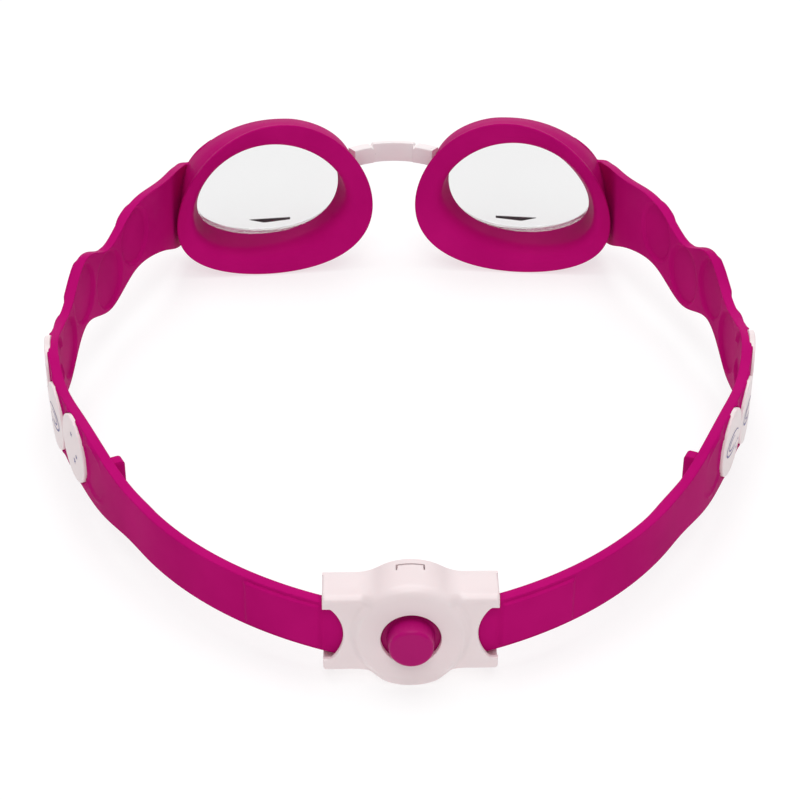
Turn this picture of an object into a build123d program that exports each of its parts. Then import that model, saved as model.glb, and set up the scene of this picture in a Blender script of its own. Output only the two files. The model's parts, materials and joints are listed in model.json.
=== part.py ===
from build123d import *
from math import atan2, cos, degrees, hypot, pi, radians, sin
import os

# Children's swim goggles: two soft eyecups on a nose bridge, a one-piece strap
# on each side and a push-button clip that locks the straps behind the head.
# The goggles are drawn as worn: +X to the wearer's right, +Y to the front (lenses),
# +Z up, X = 0 on the plane of symmetry, Y = 0 at the clip and Z = 0 at the lower
# edge of the rear strap.  The last section sets them down on a table.

# ---------------------------------------------------------------- driving sizes
STRAP_HEIGHT = 10.0
STRAP_THICKNESS = 1.95
STRAP_MIDDLE = STRAP_HEIGHT / 2

REAR_RADIUS = 70.0               # outer face of the rear strap, seen from above
REAR_CENTRE = (-12.4, 67.4)      # its centre, for the right-hand strap

SPOT_DIAMETER = 12.6             # shallow dimples inside the strap
DISC_DIAMETER = 13.3             # pale discs set in its outer face
DISC_THICKNESS = 1.3
POCKET_DEPTH = 0.45

TAIL_THICKNESS = 1.0
TAIL_HEIGHT = 6.0
TAIL_GAP = 0.3                   # between the strap and its tail

CUP_CENTRE = (28.4, 4.3)         # middle of the eyecup, X and Z
CUP_TILT = -18.0                 # degrees, its long axis falls outwards
CUP_EGG = -0.188                 # how much the outer end is slimmer than the nose end
LIP_CENTRE = (27.65, 3.95)
LIP_TILT = -14.9
LIP_LENGTH = 22.8                # half length and half height of the seal's lip
LIP_HEIGHT = 18.5
LIP_EGG = -0.167
LIP_DROOP = -1.48                # both ends of the lip sink below its middle
LIP_TURN = 6.0                   # degrees, the lip follows the side of the face
LIP_Y = 156.0
FRAME_BACK_Y = 161.0
FRAME_FRONT_Y = 169.5
LENS_CENTRE = (29.6, 4.6)
LENS_TILT = -20.0
LENS_LENGTH = 18.3
LENS_HEIGHT = 13.0
LENS_THICKNESS = 1.6
LENS_RADIUS = 58.0
LENS_TOP_Y = 171.5

PIVOT_Y = 165.5                  # flexing lines of the bridge and of the arms
BRIDGE_PIVOT_X = 9.8
ARM_PIVOT_X = 49.35
KNUCKLE_RADIUS = 1.0
KNUCKLE_GAP = 0.3

BRIDGE_LOW = 10.2
BRIDGE_HEIGHT = 4.7
BRIDGE_THICKNESS = 1.2
BRIDGE_BOW = 3.0

CLIP_WIDTH = 29.0
CLIP_HEIGHT = 15.0
CLIP_BLEND = 7.0                 # hollow between its wings and its dome
DOME_RADIUS = 10.1
CLIP_WALL = 1.0
CLIP_FRONT_Y = 0.5
CLIP_BACK_Y = 7.0
DOME_RISE = 1.1
HOLE_DIAMETER = 9.9
BUTTON_DIAMETER = 7.8
BUTTON_END_Y = -3.6
BAR_Y = 3.1
BAR_THICKNESS = 0.7

BELOW_ALL = -15.0                # upright bands and cuts start here
ABOVE_ALL = 40.0                 # and are this high
CUT_DEPTH = 10.0                 # more than any wall that a cut goes through

os.makedirs("parts", exist_ok=True)


# ---------------------------------------------------------------- shared outlines
def egg(half_length, half_height, slimming, droop=0.0, count=16):
    """Points of an egg with its pointed end towards +X; a droop bends its ends down."""
    points = []
    for i in range(count):
        t = 2 * pi * i / count
        up = half_height * (1 + slimming * cos(t)) * sin(t) + droop * cos(2 * t)
        points.append((half_length * cos(t), up))
    return points


def face_plane(y, centre=CUP_CENTRE, tilt=CUP_TILT, turn=0.0):
    """A plane across the eyecup, X along the egg, tilted and turned about the upright."""
    turn = radians(turn)
    tilt = radians(tilt)
    along = (cos(turn) * cos(tilt), -sin(turn) * cos(tilt), sin(tilt))
    return Plane(origin=(centre[0], y, centre[1]), x_dir=along, z_dir=(-sin(turn), -cos(turn), 0))


def on_rear_arc(radius, angle):
    """A point on a circle about the rear strap's centre."""
    x = REAR_CENTRE[0] + radius * cos(radians(angle))
    y = REAR_CENTRE[1] + radius * sin(radians(angle))
    return (x, y)


def arc_angle(radius, x):
    """Angle at which a circle about the rear strap's centre passes x, on its rear side."""
    across = x - REAR_CENTRE[0]
    return -degrees(atan2((radius ** 2 - across ** 2) ** 0.5, across))


# The outer face of the arm, from the end of the rear arc to the pivot at the eyecup.
ARC_END = -32.0
ARM_PATH = [
    on_rear_arc(REAR_RADIUS, ARC_END),
    (54.0, 41.6),
    (61.3, 57.0),
    (66.6, 71.0),
    (69.0, 84.0),
    (68.4, 98.0),
    (65.2, 114.0),
    (61.4, 126.0),
    (56.8, 138.7),
    (53.4, 150.0),
    (ARM_PIVOT_X + STRAP_THICKNESS / 2, PIVOT_Y),
]
ARM_START = (cos(radians(ARC_END + 90)), sin(radians(ARC_END + 90)))
ARM_FINISH = (-0.16, 1.0)

# Side view of the arm: upper and lower edge, a wave with one crest for each spot.
UPPER_EDGE = [
    (33.0, 10.0), (44.5, 11.9), (56.0, 12.2), (69.0, 11.4), (81.0, 12.8), (91.5, 11.2), (99.0, 11.2),
    (104.5, 13.7), (110.5, 16.1), (116.0, 14.8), (121.5, 12.5), (126.0, 13.0), (131.5, 15.1),
    (138.0, 16.0), (146.0, 14.8), (154.8, 13.0), (162.0, 11.6), (170.0, 10.0),
]
LOWER_EDGE = [
    (33.0, 0.0), (44.5, -1.6), (56.0, -2.5), (69.0, -2.6), (81.0, -1.6), (94.5, -3.0),
    (108.0, 2.1), (121.0, -1.5), (133.0, 1.3), (142.0, 0.2), (150.0, -2.8), (157.5, -6.2), (170.0, -8.5),
]

# Spots along the arm: Y and Z of the centre, counted from the eyecup to the clip.
DIMPLES = [(134.0, 9.4), (121.0, 5.8), (107.5, 9.7), (94.5, 4.4)]
DISCS = [(82.5, 6.6), (69.0, 4.4), (56.3, 5.4)]


# ---------------------------------------------------------------- strap, right side
U_TURN_X = 8.4                   # where the strap turns round the lock bar
STRAP_FRONT_Y = 1.5              # its front face inside the clip
STRAP_PINCH = 1.3                # its thickness inside the clip
RETURN_Y = 5.15
RETURN_THICKNESS = 1.0
STRAIGHT_END_X = 9.8
CURVE_END_X = 13.0

INNER_RADIUS = REAR_RADIUS - STRAP_THICKNESS
DIMPLE_DEPTH = 0.45
RETURN_END_X = 10.2
PAD_RADIUS = REAR_RADIUS + 0.6   # raised pad on the strap beside the clip
PAD_MARGIN = 0.8
PAD_START = arc_angle(PAD_RADIUS, 14.9)
PAD_END = arc_angle(PAD_RADIUS, 27.5)
pad_start = on_rear_arc(PAD_RADIUS, PAD_START)
pad_finish = on_rear_arc(PAD_RADIUS, PAD_END)
pinch_y = STRAP_FRONT_Y + STRAP_PINCH
return_back = RETURN_Y + RETURN_THICKNESS
turn_front = (STRAIGHT_END_X, STRAP_FRONT_Y)
inside_of_turn = (U_TURN_X - (RETURN_Y - pinch_y) / 2, (RETURN_Y + pinch_y) / 2)
outside_of_turn = (U_TURN_X - (return_back - STRAP_FRONT_Y) / 2, (return_back + STRAP_FRONT_Y) / 2)
outer_meets_arc = on_rear_arc(REAR_RADIUS, arc_angle(REAR_RADIUS, CURVE_END_X))
inner_meets_arc = on_rear_arc(INNER_RADIUS, arc_angle(INNER_RADIUS, CURVE_END_X))


def inward(points, distance):
    """Points shifted towards the head, square to the path through them."""
    shifted = []
    for i, (x, y) in enumerate(points):
        before = points[max(i - 1, 0)]
        after = points[min(i + 1, len(points) - 1)]
        along = (after[0] - before[0], after[1] - before[1])
        length = hypot(*along)
        shifted.append((x - along[1] / length * distance, y + along[0] / length * distance))
    return shifted


arm_inner = inward(ARM_PATH, STRAP_THICKNESS)
arm_inner[0] = on_rear_arc(INNER_RADIUS, ARC_END)
arm_inner[-1] = (ARM_PIVOT_X - STRAP_THICKNESS / 2, PIVOT_Y)

with BuildPart() as arm_profile:
    with BuildSketch(Plane.YZ.offset(-5)) as side_view:
        with BuildLine() as side_outline:
            upper = Spline(UPPER_EDGE, tangents=[(1, 0), (1, 0.05)])
            lower = Spline(LOWER_EDGE, tangents=[(1, 0), (1, -0.15)])
            Polyline([upper @ 0, (-10, STRAP_HEIGHT), (-10, 0), lower @ 0])
            Line(upper @ 1, lower @ 1)
        make_face()
    extrude(amount=90)


def arm_plane(y, z):
    """A plane on the arm's outer face, X along the arm, Z pointing away from the head."""
    low, high = 0.0, 1.0
    for _ in range(30):
        middle = (low + high) / 2
        if (arm_curve @ middle).Y < y:
            low = middle
        else:
            high = middle
    place = arm_curve @ middle
    along = arm_curve % middle
    return Plane(origin=(place.X, place.Y, z), x_dir=(along.X, along.Y, 0), z_dir=(along.Y, -along.X, 0))


arm_curve = Spline(ARM_PATH, tangents=[ARM_START, ARM_FINISH])

with BuildPart() as strap_right:
    with BuildSketch(Plane.XY.offset(BELOW_ALL)) as band:
        with BuildLine() as band_outline:
            RadiusArc(turn_front, outer_meets_arc, -9.5)
            ThreePointArc(outer_meets_arc, on_rear_arc(REAR_RADIUS, -50), ARM_PATH[0])
            Spline(ARM_PATH, tangents=[ARM_START, ARM_FINISH])
            Line(ARM_PATH[-1], arm_inner[-1])
            Spline(arm_inner[::-1], tangents=[(0.16, -1.0), (-ARM_START[0], -ARM_START[1])])
            ThreePointArc(arm_inner[0], on_rear_arc(INNER_RADIUS, -50), inner_meets_arc)
            RadiusArc(inner_meets_arc, (STRAIGHT_END_X, pinch_y), 9.5)
            Line((STRAIGHT_END_X, pinch_y), (U_TURN_X, pinch_y))
            ThreePointArc((U_TURN_X, pinch_y), inside_of_turn, (U_TURN_X, RETURN_Y))
            Polyline(
                (U_TURN_X, RETURN_Y), (RETURN_END_X, RETURN_Y), (RETURN_END_X, return_back),
                (U_TURN_X, return_back),
            )
            ThreePointArc((U_TURN_X, return_back), outside_of_turn, (U_TURN_X, STRAP_FRONT_Y))
            Line((U_TURN_X, STRAP_FRONT_Y), turn_front)
        make_face()
        with Locations((ARM_PIVOT_X, PIVOT_Y)):
            Circle(KNUCKLE_RADIUS)
    extrude(amount=ABOVE_ALL)
    add(arm_profile.part, mode=Mode.INTERSECT)
    with BuildSketch(Plane.XY.offset(PAD_MARGIN)) as pad:
        with BuildLine() as pad_outline:
            ThreePointArc(pad_start, on_rear_arc(PAD_RADIUS, -60), pad_finish)
            Line(pad_finish, on_rear_arc(REAR_RADIUS - 0.3, PAD_END))
            ThreePointArc(
                on_rear_arc(REAR_RADIUS - 0.3, PAD_END), on_rear_arc(REAR_RADIUS - 0.3, -60),
                on_rear_arc(REAR_RADIUS - 0.3, PAD_START),
            )
            Line(on_rear_arc(REAR_RADIUS - 0.3, PAD_START), pad_start)
        make_face()
    extrude(amount=STRAP_HEIGHT - 2 * PAD_MARGIN)
    for y, z in DIMPLES + DISCS:
        floor = STRAP_THICKNESS - DIMPLE_DEPTH
        with BuildSketch(arm_plane(y, z).offset(-floor)) as dimple:
            Circle(SPOT_DIAMETER / 2)
        extrude(amount=-CUT_DEPTH, mode=Mode.SUBTRACT)
    for y, z in DISCS:
        with BuildSketch(arm_plane(y, z).offset(-POCKET_DEPTH)) as pocket:
            Circle(DISC_DIAMETER / 2)
        extrude(amount=CUT_DEPTH, mode=Mode.SUBTRACT)

discs_right = []
for y, z in DISCS:
    with BuildPart() as disc:
        with BuildSketch(arm_plane(y, z).offset(-POCKET_DEPTH)) as disc_outline:
            Circle(DISC_DIAMETER / 2)
        extrude(amount=DISC_THICKNESS)
        fillet(disc.faces().sort_by(Axis.X)[-1].edges(), 0.2)
    discs_right.append(disc)


# ---------------------------------------------------------------- strap tail, right side
TAIL_START_X = 11.3              # its inner end stays inside the clip
NUB_LENGTH = 3.0
NUB_DEPTH = 2.1
NUB_LOW = 1.6
NUB_TOP = 10.2

TAIL_OUTER = INNER_RADIUS - TAIL_GAP
TAIL_INNER = TAIL_OUTER - TAIL_THICKNESS
TAIL_PATH = [ARM_PATH[0], ARM_PATH[1], (55.6, 45.0)]

tail_face = inward(TAIL_PATH, STRAP_THICKNESS + TAIL_GAP)
tail_back = inward(TAIL_PATH, STRAP_THICKNESS + TAIL_GAP + TAIL_THICKNESS)
tail_face[0] = on_rear_arc(TAIL_OUTER, ARC_END)
tail_back[0] = on_rear_arc(TAIL_INNER, ARC_END)
tail_face_start = on_rear_arc(TAIL_OUTER, arc_angle(TAIL_OUTER, TAIL_START_X))
tail_back_start = on_rear_arc(TAIL_INNER, arc_angle(TAIL_INNER, TAIL_START_X))
tail_heading = degrees(atan2(45.0 - ARM_PATH[1][1], 55.6 - ARM_PATH[1][0]))

with BuildPart() as strap_tail_right:
    with BuildSketch(Plane.XY.offset(STRAP_MIDDLE - TAIL_HEIGHT / 2)) as tail_band:
        with BuildLine() as tail_outline:
            ThreePointArc(tail_face_start, on_rear_arc(TAIL_OUTER, -50), tail_face[0])
            Spline(tail_face, tangents=[ARM_START, (0.43, 0.9)])
            Line(tail_face[-1], tail_back[-1])
            Spline(tail_back[::-1], tangents=[(-0.43, -0.9), (-ARM_START[0], -ARM_START[1])])
            ThreePointArc(tail_back[0], on_rear_arc(TAIL_INNER, -50), tail_back_start)
            Line(tail_back_start, tail_face_start)
        make_face()
    extrude(amount=TAIL_HEIGHT)
    nub_plane = Plane(origin=(*tail_face[-1], NUB_LOW), z_dir=(0, 0, 1)).rotated((0, 0, tail_heading))
    with BuildSketch(nub_plane) as nub:
        Rectangle(NUB_LENGTH, NUB_DEPTH, align=(Align.MAX, Align.MIN))
    extrude(amount=NUB_TOP - NUB_LOW)
    nub_corners = strap_tail_right.edges().filter_by(Axis.Z).filter_by(lambda e: e.length > TAIL_HEIGHT + 1)
    fillet(nub_corners.sort_by(Axis.X)[:2], 0.6)


# ---------------------------------------------------------------- eyecup, right side
LIP_HOLE_Y = LIP_Y - 0.3         # just behind the lip, so that the opening cuts right through
LIP_HOLE_CENTRE = (28.4, 5.2)
LIP_HOLE_TILT = -10.8
LIP_HOLE = (17.8, 13.2)          # half length and half height of each opening and rim
JOINT_OUTSIDE = (20.6, 16.4)
JOINT_HOLE = (17.6, 12.7)
RIM_HOLE = (17.2, 12.3)
FRAME_FRONT = (20.3, 15.4)
LENS_SEAT_Y = 166.9
LENS_SEAT_DEPTH = 6.0            # cuts right through the front
PLATE_CENTRE = (29.5, 4.6)       # the frame's front plate, which carries the arm
PLATE_SIZE = (21.3, 15.4)
PLATE_EGG = 0.02
PLATE_BACK_Y = 166.6
BRIDGE_SOCKET = [                # the mouth of the socket that holds the bridge's end
    (BRIDGE_PIVOT_X, PIVOT_Y - 1.1), (4.0, PIVOT_Y - 0.6), (4.0, PIVOT_Y + 4.4),
    (BRIDGE_PIVOT_X, PIVOT_Y + 1.3),
]

with BuildPart() as seal_right:
    with BuildSketch(face_plane(LIP_Y, LIP_CENTRE, LIP_TILT, LIP_TURN)) as lip:
        with BuildLine():
            Spline(egg(LIP_LENGTH, LIP_HEIGHT, LIP_EGG, LIP_DROOP), periodic=True)
        make_face()
    with BuildSketch(face_plane(FRAME_BACK_Y)) as joint:
        with BuildLine():
            Spline(egg(*JOINT_OUTSIDE, CUP_EGG), periodic=True)
        make_face()
    loft()
    with BuildSketch(face_plane(LIP_HOLE_Y, LIP_HOLE_CENTRE, LIP_HOLE_TILT, LIP_TURN)) as lip_hole:
        with BuildLine():
            Spline(egg(*LIP_HOLE, 0.0, LIP_DROOP), periodic=True)
        make_face()
    with BuildSketch(face_plane(FRAME_BACK_Y, LENS_CENTRE, LENS_TILT)) as joint_hole:
        with BuildLine():
            Spline(egg(*JOINT_HOLE, CUP_EGG), periodic=True)
        make_face()
    loft(mode=Mode.SUBTRACT)

with BuildPart() as frame_right:
    with BuildSketch(face_plane(FRAME_BACK_Y)) as frame_back:
        with BuildLine():
            Spline(egg(*JOINT_OUTSIDE, CUP_EGG), periodic=True)
        make_face()
    with BuildSketch(face_plane(FRAME_FRONT_Y)) as frame_front:
        with BuildLine():
            Spline(egg(*FRAME_FRONT, CUP_EGG), periodic=True)
        make_face()
    loft()
    with BuildSketch(face_plane(PLATE_BACK_Y, PLATE_CENTRE, LENS_TILT)) as front_plate:
        with BuildLine():
            Spline(egg(*PLATE_SIZE, PLATE_EGG), periodic=True)
        make_face()
    extrude(amount=PLATE_BACK_Y - FRAME_FRONT_Y)
    with BuildSketch(Plane.XY.offset(BELOW_ALL)) as knuckle_groove:
        with Locations((ARM_PIVOT_X, PIVOT_Y)):
            Circle(KNUCKLE_RADIUS + KNUCKLE_GAP)
    extrude(amount=ABOVE_ALL, mode=Mode.SUBTRACT)
    with BuildSketch(Plane.XY.offset(BRIDGE_LOW - KNUCKLE_GAP)) as bridge_socket:
        with Locations((BRIDGE_PIVOT_X, PIVOT_Y)):
            Circle(KNUCKLE_RADIUS + KNUCKLE_GAP)
        with BuildLine():
            Polyline(BRIDGE_SOCKET, close=True)
        make_face()
    extrude(amount=BRIDGE_HEIGHT + 2 * KNUCKLE_GAP, mode=Mode.SUBTRACT)
    with BuildSketch(face_plane(FRAME_BACK_Y, LENS_CENTRE, LENS_TILT)) as rim_back:
        with BuildLine():
            Spline(egg(*JOINT_HOLE, CUP_EGG), periodic=True)
        make_face()
    with BuildSketch(face_plane(LENS_SEAT_Y, LENS_CENTRE, LENS_TILT)) as rim_front:
        with BuildLine():
            Spline(egg(*RIM_HOLE, CUP_EGG), periodic=True)
        make_face()
    loft(mode=Mode.SUBTRACT)
    with BuildSketch(face_plane(LENS_SEAT_Y, LENS_CENTRE, LENS_TILT)) as lens_seat:
        with BuildLine():
            Spline(egg(LENS_LENGTH, LENS_HEIGHT, CUP_EGG), periodic=True)
        make_face()
    extrude(amount=-LENS_SEAT_DEPTH, mode=Mode.SUBTRACT)

with BuildPart() as lens_right:
    with BuildSketch(face_plane(LENS_SEAT_Y, LENS_CENTRE, LENS_TILT)) as lens_outline:
        with BuildLine():
            Spline(egg(LENS_LENGTH, LENS_HEIGHT, CUP_EGG), periodic=True)
        make_face()
    extrude(amount=-LENS_SEAT_DEPTH)
    with Locations((LENS_CENTRE[0], LENS_TOP_Y - LENS_RADIUS, LENS_CENTRE[1])):
        Sphere(LENS_RADIUS, mode=Mode.INTERSECT)
        Sphere(LENS_RADIUS - LENS_THICKNESS, mode=Mode.SUBTRACT)

bridge_front = PIVOT_Y + BRIDGE_THICKNESS / 2
bridge_rear = PIVOT_Y - BRIDGE_THICKNESS / 2

with BuildPart() as nose_bridge:
    with BuildSketch(Plane.XY.offset(BRIDGE_LOW)) as bridge_band:
        with BuildLine():
            ThreePointArc(
                (-BRIDGE_PIVOT_X, bridge_front),
                (0, bridge_front + BRIDGE_BOW),
                (BRIDGE_PIVOT_X, bridge_front),
            )
            Line((BRIDGE_PIVOT_X, bridge_front), (BRIDGE_PIVOT_X, bridge_rear))
            ThreePointArc(
                (BRIDGE_PIVOT_X, bridge_rear),
                (0, bridge_rear + BRIDGE_BOW),
                (-BRIDGE_PIVOT_X, bridge_rear),
            )
            Line((-BRIDGE_PIVOT_X, bridge_rear), (-BRIDGE_PIVOT_X, bridge_front))
        make_face()
        with Locations((BRIDGE_PIVOT_X, PIVOT_Y), (-BRIDGE_PIVOT_X, PIVOT_Y)):
            Circle(KNUCKLE_RADIUS)
    extrude(amount=BRIDGE_HEIGHT)


# ---------------------------------------------------------------- push-button clip
CUTOUT_RADIUS = 7.5              # hollows in the cover's sides that bare the straps
CUTOUT_DEPTH = 3.4
PLATE = 0.8
SNAP_WIDTH = 4.8
SNAP_Y = 5.0
FLANGE_RADIUS = 5.6
SPRING_RADIUS = 2.2
SPRING_WIRE = 0.45
SPRING_TURNS = 6
CAP_WALL = 0.8

dome_front = CLIP_FRONT_Y - DOME_RISE
spring_front = BUTTON_END_Y + CAP_WALL + SPRING_WIRE / 2 + 0.05
spring_back = CLIP_BACK_Y - SPRING_WIRE / 2 - 0.05


def clip_plane(y):
    """A plane across the clip with its origin on the button's axis, facing the rear."""
    return Plane(origin=(0, y, STRAP_MIDDLE), x_dir=(1, 0, 0), z_dir=(0, -1, 0))


def clip_outline(inset):
    """The clip's front outline: a wide plate with a round swelling above and below."""
    with BuildSketch(mode=Mode.PRIVATE) as outline:
        Rectangle(CLIP_WIDTH, CLIP_HEIGHT - 2 * inset)
        Circle(DOME_RADIUS - inset)
        inner_corners = outline.vertices().filter_by(lambda v: abs(v.X) < CLIP_WIDTH / 2 - 0.1)
        fillet(inner_corners, CLIP_BLEND + inset)
    return outline.sketch


with BuildPart() as clip_front_cover:
    with BuildSketch(clip_plane(CLIP_FRONT_Y)) as cover_outline:
        add(clip_outline(0))
    extrude(amount=CLIP_FRONT_Y - CLIP_BACK_Y)
    with BuildSketch(clip_plane(CLIP_FRONT_Y)) as dome:
        Circle(DOME_RADIUS)
    extrude(amount=DOME_RISE)
    fillet(clip_front_cover.faces().sort_by(Axis.Y)[0].edges(), 1.0)
    with BuildSketch(clip_plane(CLIP_FRONT_Y + PLATE)) as inside:
        add(clip_outline(CLIP_WALL))
    extrude(amount=-CUT_DEPTH, mode=Mode.SUBTRACT)
    with BuildSketch(clip_plane(CLIP_FRONT_Y + PLATE)) as button_room:
        Circle(FLANGE_RADIUS + 0.9)
    extrude(amount=CLIP_FRONT_Y + PLATE - dome_front - CAP_WALL + 0.1, mode=Mode.SUBTRACT)
    with BuildSketch(clip_plane(CLIP_FRONT_Y + PLATE)) as hole:
        Circle(HOLE_DIAMETER / 2)
    extrude(amount=CUT_DEPTH, mode=Mode.SUBTRACT)
    with BuildSketch(clip_plane(CLIP_FRONT_Y - 0.1)) as cutouts:
        reach = CLIP_WIDTH / 2 - CUTOUT_DEPTH + CUTOUT_RADIUS
        with Locations((reach, 0), (-reach, 0)):
            Circle(CUTOUT_RADIUS)
        Rectangle(2 * CLIP_WIDTH, STRAP_HEIGHT + 0.3, mode=Mode.INTERSECT)
    extrude(amount=-PLATE - 0.3, mode=Mode.SUBTRACT)
    with Locations((0, SNAP_Y + 0.6, STRAP_MIDDLE)):
        Box(SNAP_WIDTH, 1.2, ABOVE_ALL, mode=Mode.SUBTRACT)

with BuildPart() as clip_back_cover:
    with BuildSketch(clip_plane(CLIP_BACK_Y)) as back_outline:
        add(clip_outline(0))
    extrude(amount=-CLIP_WALL)
    fillet(clip_back_cover.faces().sort_by(Axis.Y)[-1].edges(), 0.5)
    tab_height = 2 * ((DOME_RADIUS - CLIP_WALL) ** 2 - (SNAP_WIDTH / 2) ** 2) ** 0.5 - 0.1
    with BuildSketch(clip_plane(CLIP_BACK_Y)) as snap_tabs:
        with Locations((0, tab_height / 2 - 0.45), (0, 0.45 - tab_height / 2)):
            Rectangle(SNAP_WIDTH - 0.4, 0.9)
    extrude(amount=CLIP_BACK_Y - SNAP_Y)
    with BuildSketch(clip_plane(SNAP_Y + 1.1)) as barbs:
        with Locations((0, tab_height / 2), (0, -tab_height / 2)):
            Rectangle(SNAP_WIDTH - 0.4, 1.2)
    extrude(amount=1.0)
    with BuildSketch(clip_plane(CLIP_BACK_Y)) as spring_seat:
        Circle(SPRING_RADIUS + 1.0)
        Circle(SPRING_RADIUS + 0.45, mode=Mode.SUBTRACT)
    extrude(amount=0.8)

with BuildPart() as button_cap:
    with BuildSketch(Plane.XY.offset(STRAP_MIDDLE)) as cap_section:
        with BuildLine():
            Polyline(
                (0, BUTTON_END_Y), (BUTTON_DIAMETER / 2 - 0.25, BUTTON_END_Y),
                (BUTTON_DIAMETER / 2, dome_front + CAP_WALL), (FLANGE_RADIUS, dome_front + CAP_WALL),
                (FLANGE_RADIUS, dome_front + 2 * CAP_WALL),
                (BUTTON_DIAMETER / 2, dome_front + 2 * CAP_WALL),
                (BUTTON_DIAMETER / 2, BAR_Y), (BUTTON_DIAMETER / 2 - CAP_WALL, BAR_Y),
                (BUTTON_DIAMETER / 2 - CAP_WALL, BUTTON_END_Y + CAP_WALL), (0, BUTTON_END_Y + CAP_WALL),
                close=True,
            )
        make_face()
    revolve(axis=Axis((0, 0, STRAP_MIDDLE), (0, 1, 0)))
    fillet(button_cap.edges().sort_by(Axis.Y)[0], 0.7)

CARRIER_WIDTH = 20.4
CARRIER_HEIGHT = 12.2
BAR_WIDTH = 1.6
SLOT_WIDTH = 3.2

with BuildPart() as lock_carrier:
    with BuildSketch(clip_plane(BAR_Y)) as carrier_outline:
        Rectangle(CARRIER_WIDTH, CARRIER_HEIGHT)
        slot_x = CARRIER_WIDTH / 2 - BAR_WIDTH - SLOT_WIDTH / 2
        with Locations((slot_x, 0), (-slot_x, 0)):
            Rectangle(SLOT_WIDTH, STRAP_HEIGHT + 0.6, mode=Mode.SUBTRACT)
        Circle(SPRING_RADIUS + 0.5, mode=Mode.SUBTRACT)
    extrude(amount=-BAR_THICKNESS)

with BuildPart() as button_spring:
    with BuildLine() as coil:
        Helix(
            pitch=(spring_back - spring_front) / SPRING_TURNS, height=spring_back - spring_front,
            radius=SPRING_RADIUS, center=(0, spring_front, STRAP_MIDDLE), direction=(0, 1, 0),
        )
    with BuildSketch(Plane(origin=coil.line @ 0, z_dir=coil.line % 0)) as wire:
        Circle(SPRING_WIRE / 2)
    sweep()


# ---------------------------------------------------------------- set down on a table
# The lowest points are the eyecups' lips and the clip's dome: the whole is tipped about X
# until both touch, then moved so that the middle of its footprint is the origin.
clip_bottom = STRAP_MIDDLE - DOME_RADIUS
lip_box = seal_right.part.bounding_box()
REST_TILT = degrees(atan2(clip_bottom - lip_box.min.Z, lip_box.min.Y + 2 - CLIP_FRONT_Y))

right_pieces = {
    "strap_right": strap_right,
    "strap_tail_right": strap_tail_right,
    "seal_right": seal_right,
    "frame_right": frame_right,
    "lens_right": lens_right,
}
for number, disc in enumerate(discs_right, start=1):
    right_pieces[f"spot_disc_right_{number}"] = disc

pieces = {
    "nose_bridge": nose_bridge,
    "clip_front_cover": clip_front_cover,
    "clip_back_cover": clip_back_cover,
    "button_cap": button_cap,
    "lock_carrier": lock_carrier,
    "button_spring": button_spring,
}
for node, piece in right_pieces.items():
    with BuildPart() as left_piece:
        mirror(piece.part, about=Plane.YZ)
    pieces[node] = piece
    pieces[node.replace("right", "left")] = left_piece

tipped = {node: piece.part.rotate(Axis.X, REST_TILT) for node, piece in pieces.items()}
whole = Compound(children=[Compound(shape.wrapped) for shape in tipped.values()]).bounding_box()
REST_SHIFT = (0, -whole.center().Y, -whole.min.Z)

for node, shape in tipped.items():
    with BuildPart() as piece:
        add(shape.translate(REST_SHIFT))
    piece.part.label = node
    export_step(piece.part, f"parts/{node}.step")

print("tilt", REST_TILT, "shift", REST_SHIFT)
print("size", whole.size)
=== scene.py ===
import json
import math

import bmesh
import bpy
import numpy as np
from mathutils import Matrix, Vector


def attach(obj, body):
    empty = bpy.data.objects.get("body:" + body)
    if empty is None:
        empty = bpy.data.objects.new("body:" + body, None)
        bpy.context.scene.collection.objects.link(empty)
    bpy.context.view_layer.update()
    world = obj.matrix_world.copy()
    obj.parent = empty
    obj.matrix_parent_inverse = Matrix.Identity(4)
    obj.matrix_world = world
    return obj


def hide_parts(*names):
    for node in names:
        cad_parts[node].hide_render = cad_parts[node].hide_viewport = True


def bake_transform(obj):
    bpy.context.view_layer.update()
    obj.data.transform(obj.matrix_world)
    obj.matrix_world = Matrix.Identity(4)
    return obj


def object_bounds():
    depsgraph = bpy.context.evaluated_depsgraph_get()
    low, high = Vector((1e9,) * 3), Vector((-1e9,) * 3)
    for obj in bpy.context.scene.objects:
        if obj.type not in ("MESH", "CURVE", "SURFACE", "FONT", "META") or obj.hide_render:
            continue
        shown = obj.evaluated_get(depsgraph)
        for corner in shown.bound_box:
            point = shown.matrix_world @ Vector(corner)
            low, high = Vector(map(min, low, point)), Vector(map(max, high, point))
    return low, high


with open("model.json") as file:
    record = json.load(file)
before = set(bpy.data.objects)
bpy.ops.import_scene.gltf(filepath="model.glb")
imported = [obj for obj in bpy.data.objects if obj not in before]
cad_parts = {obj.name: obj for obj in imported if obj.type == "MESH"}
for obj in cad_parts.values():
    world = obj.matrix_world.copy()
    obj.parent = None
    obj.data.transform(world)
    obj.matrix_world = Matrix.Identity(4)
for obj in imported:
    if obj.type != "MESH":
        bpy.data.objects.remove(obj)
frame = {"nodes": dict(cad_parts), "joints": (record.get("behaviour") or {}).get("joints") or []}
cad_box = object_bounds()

# The goggles are drawn in millimetres as worn: X to the wearer's right, Y from the clip to the
# lenses, Z up, with the clip's button on X = 0, Z = 5.  worn_to_frame() sets them on the table.
HINGE_AS_WORN = (-9.8, 165.5, 5.0)

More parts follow.
